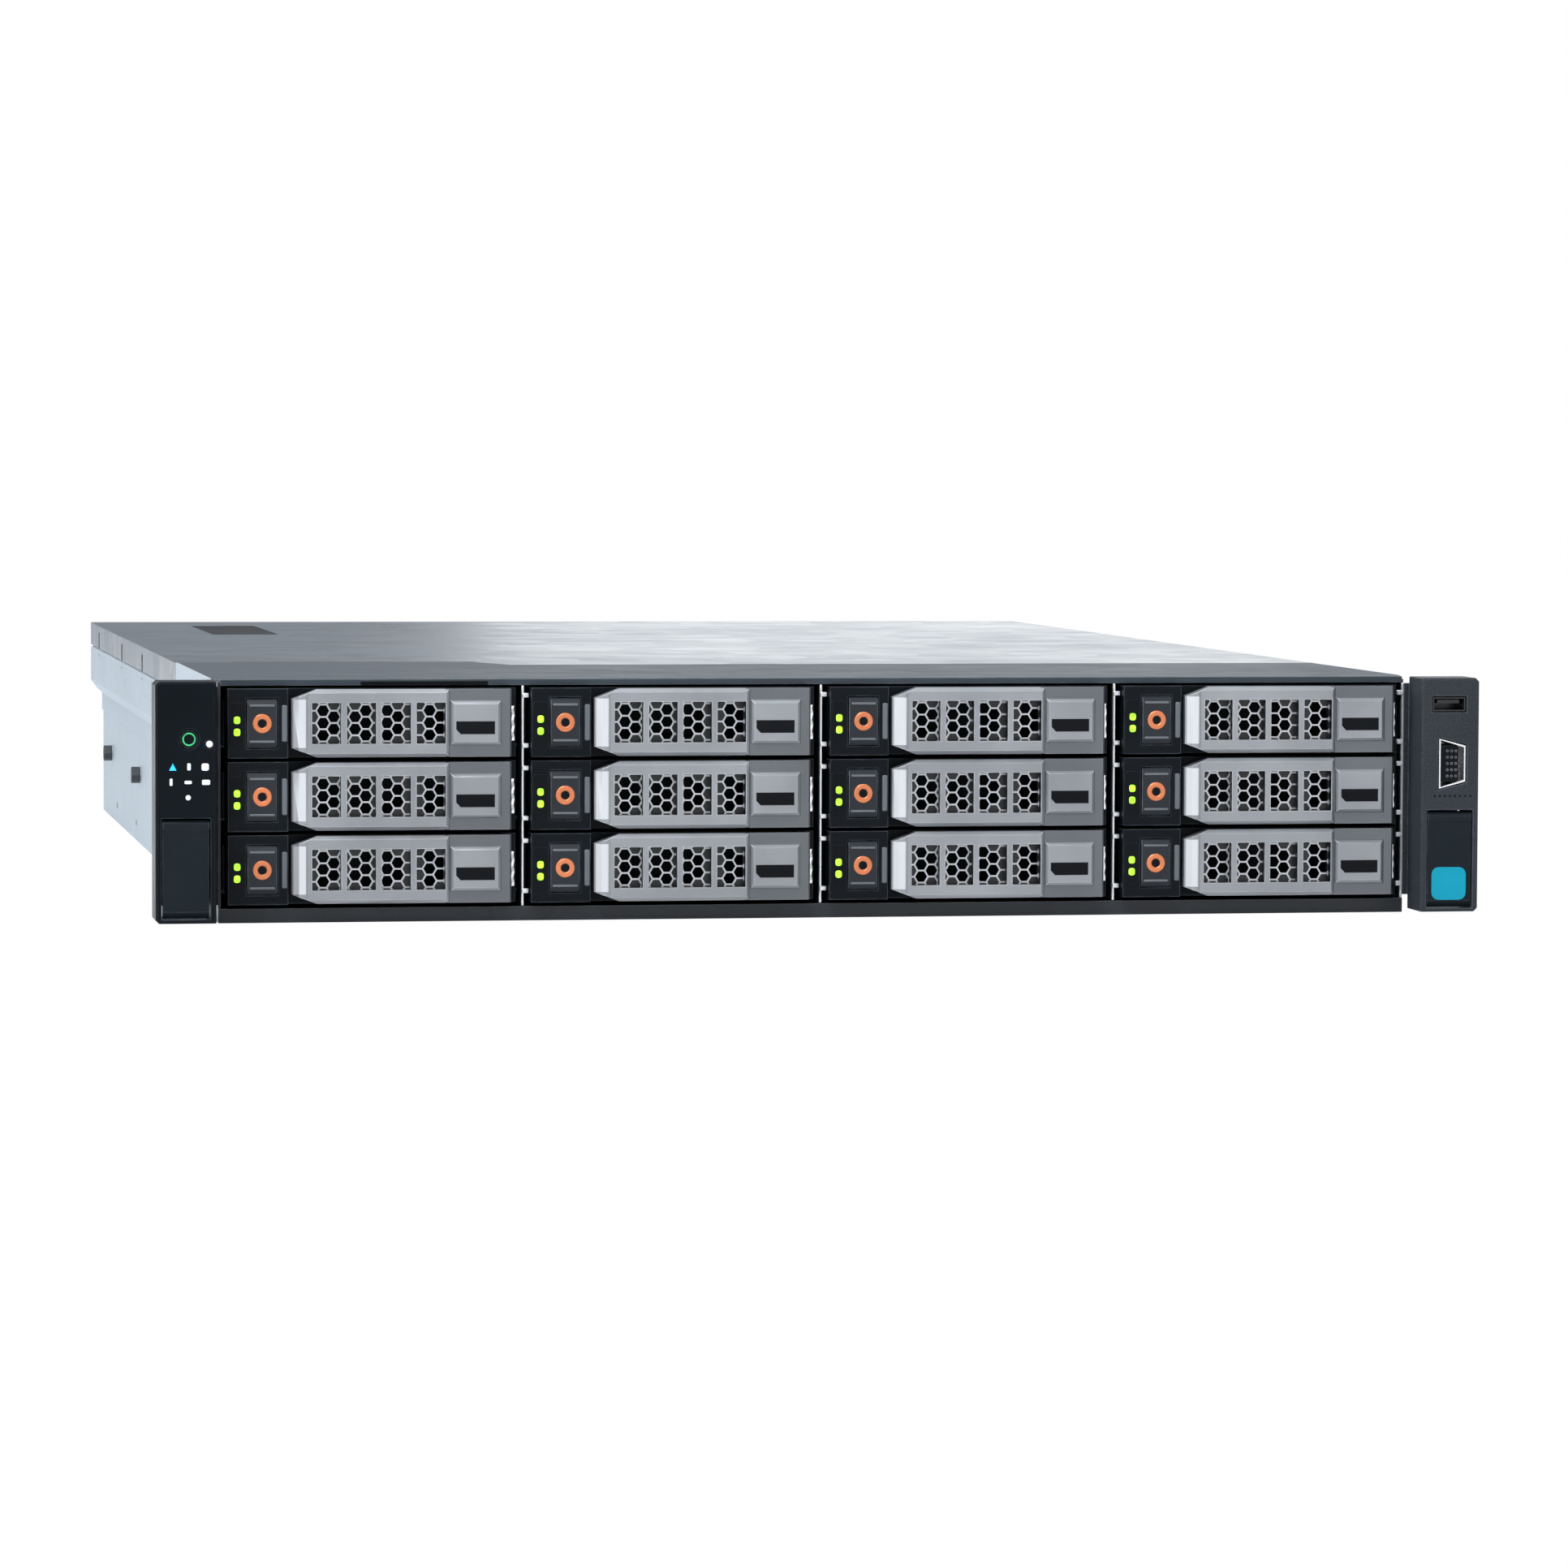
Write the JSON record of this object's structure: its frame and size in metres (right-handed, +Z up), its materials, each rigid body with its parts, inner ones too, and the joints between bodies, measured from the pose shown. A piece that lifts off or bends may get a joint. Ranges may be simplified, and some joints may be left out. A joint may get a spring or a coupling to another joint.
{
  "type": "2u rack server",
  "caption": "Rack-mount server, two units high, with front-loading large drives, ear latches, a lift-off cover, fans, a main board and plug-in power supplies.",
  "frame": {"origin": "middle of the width, on the base, in the plane where the ears meet the rack's posts", "axes": "+Z up, +Y from the front to the back, +X to the right seen from the front"},
  "size_m": [0.4824, 0.7303, 0.0868],
  "materials": {
    "side_steel": "galvanised",
    "cover_steel": "galvanised, dull",
    "cage_steel": "black powder coat",
    "circuit_board": "solder mask",
    "ear_plastic": "fine grain",
    "latch_plastic": "fine grain",
    "button_plastic": "moulded",
    "socket_metal": "nickel plate",
    "fan_plastic": "moulded",
    "fin_aluminium": "mill",
    "supply_case": "plated sheet",
    "drive_alloy": "dark cast",
    "handle_silver": "silver paint",
    "release_grey": "satin"
  },
  "bodies": {
    "chassis": {"chassis": "side_steel", "front_top_panel": "cover_steel", "drive_cage": "cage_steel", "backplane": "circuit_board", "left_ear": "ear_plastic", "right_ear": "ear_plastic", "front_ports": "socket_metal", "fan_wall": "fan_plastic", "motherboard": "circuit_board", "heat_sinks": "fin_aluminium", "memory_modules": "circuit_board", "rear_panel": "side_steel"},
    "top_cover": {"top_cover": "cover_steel"},
    "cover_latch": {"cover_latch": "latch_plastic"},
    "left_latch": {"left_latch": "latch_plastic"},
    "right_latch": {"right_latch": "latch_plastic"},
    "power_button": {"power_button": "button_plastic"},
    "id_button": {"id_button": "button_plastic"},
    "psu_1": {"psu_1": "supply_case"},
    "psu_2": {"psu_2": "supply_case"},
    "drive_01": {"drive_01": "drive_alloy"},
    "handle_01": {"handle_01": "handle_silver"},
    "release_button_01": {"release_button_01": "release_grey"},
    "drive_02": {"drive_02": "drive_alloy"},
    "handle_02": {"handle_02": "handle_silver"},
    "release_button_02": {"release_button_02": "release_grey"},
    "drive_03": {"drive_03": "drive_alloy"},
    "handle_03": {"handle_03": "handle_silver"},
    "release_button_03": {"release_button_03": "release_grey"},
    "drive_04": {"drive_04": "drive_alloy"},
    "handle_04": {"handle_04": "handle_silver"},
    "release_button_04": {"release_button_04": "release_grey"},
    "drive_05": {"drive_05": "drive_alloy"},
    "handle_05": {"handle_05": "handle_silver"},
    "release_button_05": {"release_button_05": "release_grey"},
    "drive_06": {"drive_06": "drive_alloy"},
    "handle_06": {"handle_06": "handle_silver"},
    "release_button_06": {"release_button_06": "release_grey"},
    "drive_07": {"drive_07": "drive_alloy"},
    "handle_07": {"handle_07": "handle_silver"},
    "release_button_07": {"release_button_07": "release_grey"},
    "drive_08": {"drive_08": "drive_alloy"},
    "handle_08": {"handle_08": "handle_silver"},
    "release_button_08": {"release_button_08": "release_grey"},
    "drive_09": {"drive_09": "drive_alloy"},
    "handle_09": {"handle_09": "handle_silver"},
    "release_button_09": {"release_button_09": "release_grey"},
    "drive_10": {"drive_10": "drive_alloy"},
    "handle_10": {"handle_10": "handle_silver"},
    "release_button_10": {"release_button_10": "release_grey"},
    "drive_11": {"drive_11": "drive_alloy"},
    "handle_11": {"handle_11": "handle_silver"},
    "release_button_11": {"release_button_11": "release_grey"},
    "drive_12": {"drive_12": "drive_alloy"},
    "handle_12": {"handle_12": "handle_silver"},
    "release_button_12": {"release_button_12": "release_grey"},
    "fan_rotor_1": {"fan_rotor_1": "fan_plastic"},
    "fan_rotor_2": {"fan_rotor_2": "fan_plastic"},
    "fan_rotor_3": {"fan_rotor_3": "fan_plastic"},
    "fan_rotor_4": {"fan_rotor_4": "fan_plastic"}
  },
  "joints": [
    {"name": "cover_lift", "type": "slide", "parent": "chassis", "child": "top_cover", "axis": [0, 0, 1], "range_m": [0, 0.06]},
    {"name": "cover_latch_hinge", "type": "hinge", "parent": "top_cover", "child": "cover_latch", "pos_m": [-0.1635, 0.6317, 0.084], "axis": [-1, 0, 0], "range_deg": [0, 75]},
    {"name": "left_latch_hinge", "type": "hinge", "parent": "chassis", "child": "left_latch", "pos_m": [-0.23045, -0.0174, 0.0356], "axis": [-1, 0, 0], "range_deg": [0, 45], "stiffness_Nm_per_rad": 0.02},
    {"name": "right_latch_hinge", "type": "hinge", "parent": "chassis", "child": "right_latch", "pos_m": [0.23045, -0.0174, 0.0356], "axis": [-1, 0, 0], "range_deg": [0, 45], "stiffness_Nm_per_rad": 0.02},
    {"name": "power_button_press", "type": "slide", "parent": "chassis", "child": "power_button", "axis": [0, 1, 0], "range_m": [0, 0.001], "stiffness_N_per_m": 300},
    {"name": "id_button_press", "type": "slide", "parent": "chassis", "child": "id_button", "axis": [0, 1, 0], "range_m": [0, 0.001], "stiffness_N_per_m": 300},
    {"name": "psu_1_slide", "type": "slide", "parent": "chassis", "child": "psu_1", "axis": [0, 1, 0], "range_m": [0, 0.2]},
    {"name": "psu_2_slide", "type": "slide", "parent": "chassis", "child": "psu_2", "axis": [0, 1, 0], "range_m": [0, 0.2]},
    {"name": "drive_06_slide", "type": "slide", "parent": "chassis", "child": "drive_06", "axis": [0, -1, 0], "range_m": [0, 0.19]},
    {"name": "handle_06_hinge", "type": "hinge", "parent": "drive_06", "child": "handle_06", "pos_m": [-0.0069, -0.0038, 0.04525], "axis": [0, 0, 1], "range_deg": [0, 40]},
    {"name": "release_06_press", "type": "slide", "parent": "drive_06", "child": "release_button_06", "axis": [0, 1, 0], "range_m": [0, 0.0016], "stiffness_N_per_m": 400},
    {"name": "fan_1_spin", "type": "hinge", "parent": "chassis", "child": "fan_rotor_1", "pos_m": [-0.16057, 0.2, 0.0412], "axis": [0, 1, 0], "continuous": true},
    {"name": "drive_01_slide", "type": "slide", "parent": "chassis", "child": "drive_01", "axis": [0, -1, 0], "range_m": [0, 0.19]},
    {"name": "handle_01_hinge", "type": "hinge", "parent": "drive_01", "child": "handle_01", "pos_m": [-0.1155, -0.0038, 0.07135], "axis": [0, 0, 1], "range_deg": [0, 40]},
    {"name": "release_01_press", "type": "slide", "parent": "drive_01", "child": "release_button_01", "axis": [0, 1, 0], "range_m": [0, 0.0016], "stiffness_N_per_m": 400},
    {"name": "drive_12_slide", "type": "slide", "parent": "chassis", "child": "drive_12", "axis": [0, -1, 0], "range_m": [0, 0.19]},
    {"name": "handle_12_hinge", "type": "hinge", "parent": "drive_12", "child": "handle_12", "pos_m": [0.2103, -0.0038, 0.01915], "axis": [0, 0, 1], "range_deg": [0, 40]},
    {"name": "release_12_press", "type": "slide", "parent": "drive_12", "child": "release_button_12", "axis": [0, 1, 0], "range_m": [0, 0.0016], "stiffness_N_per_m": 400},
    {"name": "drive_02_slide", "type": "slide", "parent": "chassis", "child": "drive_02", "axis": [0, -1, 0], "range_m": [0, 0.19]},
    {"name": "handle_02_hinge", "type": "hinge", "parent": "drive_02", "child": "handle_02", "pos_m": [-0.0069, -0.0038, 0.07135], "axis": [0, 0, 1], "range_deg": [0, 40]},
    {"name": "release_02_press", "type": "slide", "parent": "drive_02", "child": "release_button_02", "axis": [0, 1, 0], "range_m": [0, 0.0016], "stiffness_N_per_m": 400},
    {"name": "drive_03_slide", "type": "slide", "parent": "chassis", "child": "drive_03", "axis": [0, -1, 0], "range_m": [0, 0.19]},
    {"name": "handle_03_hinge", "type": "hinge", "parent": "drive_03", "child": "handle_03", "pos_m": [0.1017, -0.0038, 0.07135], "axis": [0, 0, 1], "range_deg": [0, 40]},
    {"name": "release_03_press", "type": "slide", "parent": "drive_03", "child": "release_button_03", "axis": [0, 1, 0], "range_m": [0, 0.0016], "stiffness_N_per_m": 400},
    {"name": "drive_04_slide", "type": "slide", "parent": "chassis", "child": "drive_04", "axis": [0, -1, 0], "range_m": [0, 0.19]},
    {"name": "handle_04_hinge", "type": "hinge", "parent": "drive_04", "child": "handle_04", "pos_m": [0.2103, -0.0038, 0.07135], "axis": [0, 0, 1], "range_deg": [0, 40]},
    {"name": "release_04_press", "type": "slide", "parent": "drive_04", "child": "release_button_04", "axis": [0, 1, 0], "range_m": [0, 0.0016], "stiffness_N_per_m": 400},
    {"name": "drive_05_slide", "type": "slide", "parent": "chassis", "child": "drive_05", "axis": [0, -1, 0], "range_m": [0, 0.19]},
    {"name": "handle_05_hinge", "type": "hinge", "parent": "drive_05", "child": "handle_05", "pos_m": [-0.1155, -0.0038, 0.04525], "axis": [0, 0, 1], "range_deg": [0, 40]},
    {"name": "release_05_press", "type": "slide", "parent": "drive_05", "child": "release_button_05", "axis": [0, 1, 0], "range_m": [0, 0.0016], "stiffness_N_per_m": 400},
    {"name": "drive_07_slide", "type": "slide", "parent": "chassis", "child": "drive_07", "axis": [0, -1, 0], "range_m": [0, 0.19]},
    {"name": "handle_07_hinge", "type": "hinge", "parent": "drive_07", "child": "handle_07", "pos_m": [0.1017, -0.0038, 0.04525], "axis": [0, 0, 1], "range_deg": [0, 40]},
    {"name": "release_07_press", "type": "slide", "parent": "drive_07", "child": "release_button_07", "axis": [0, 1, 0], "range_m": [0, 0.0016], "stiffness_N_per_m": 400},
    {"name": "drive_08_slide", "type": "slide", "parent": "chassis", "child": "drive_08", "axis": [0, -1, 0], "range_m": [0, 0.19]},
    {"name": "handle_08_hinge", "type": "hinge", "parent": "drive_08", "child": "handle_08", "pos_m": [0.2103, -0.0038, 0.04525], "axis": [0, 0, 1], "range_deg": [0, 40]},
    {"name": "release_08_press", "type": "slide", "parent": "drive_08", "child": "release_button_08", "axis": [0, 1, 0], "range_m": [0, 0.0016], "stiffness_N_per_m": 400},
    {"name": "drive_09_slide", "type": "slide", "parent": "chassis", "child": "drive_09", "axis": [0, -1, 0], "range_m": [0, 0.19]},
    {"name": "handle_09_hinge", "type": "hinge", "parent": "drive_09", "child": "handle_09", "pos_m": [-0.1155, -0.0038, 0.01915], "axis": [0, 0, 1], "range_deg": [0, 40]},
    {"name": "release_09_press", "type": "slide", "parent": "drive_09", "child": "release_button_09", "axis": [0, 1, 0], "range_m": [0, 0.0016], "stiffness_N_per_m": 400},
    {"name": "drive_10_slide", "type": "slide", "parent": "chassis", "child": "drive_10", "axis": [0, -1, 0], "range_m": [0, 0.19]},
    {"name": "handle_10_hinge", "type": "hinge", "parent": "drive_10", "child": "handle_10", "pos_m": [-0.0069, -0.0038, 0.01915], "axis": [0, 0, 1], "range_deg": [0, 40]},
    {"name": "release_10_press", "type": "slide", "parent": "drive_10", "child": "release_button_10", "axis": [0, 1, 0], "range_m": [0, 0.0016], "stiffness_N_per_m": 400},
    {"name": "drive_11_slide", "type": "slide", "parent": "chassis", "child": "drive_11", "axis": [0, -1, 0], "range_m": [0, 0.19]},
    {"name": "handle_11_hinge", "type": "hinge", "parent": "drive_11", "child": "handle_11", "pos_m": [0.1017, -0.0038, 0.01915], "axis": [0, 0, 1], "range_deg": [0, 40]},
    {"name": "release_11_press", "type": "slide", "parent": "drive_11", "child": "release_button_11", "axis": [0, 1, 0], "range_m": [0, 0.0016], "stiffness_N_per_m": 400},
    {"name": "fan_2_spin", "type": "hinge", "parent": "chassis", "child": "fan_rotor_2", "pos_m": [-0.05353, 0.2, 0.0412], "axis": [0, 1, 0], "continuous": true},
    {"name": "fan_3_spin", "type": "hinge", "parent": "chassis", "child": "fan_rotor_3", "pos_m": [0.05353, 0.2, 0.0412], "axis": [0, 1, 0], "continuous": true},
    {"name": "fan_4_spin", "type": "hinge", "parent": "chassis", "child": "fan_rotor_4", "pos_m": [0.16057, 0.2, 0.0412], "axis": [0, 1, 0], "continuous": true}
  ]
}
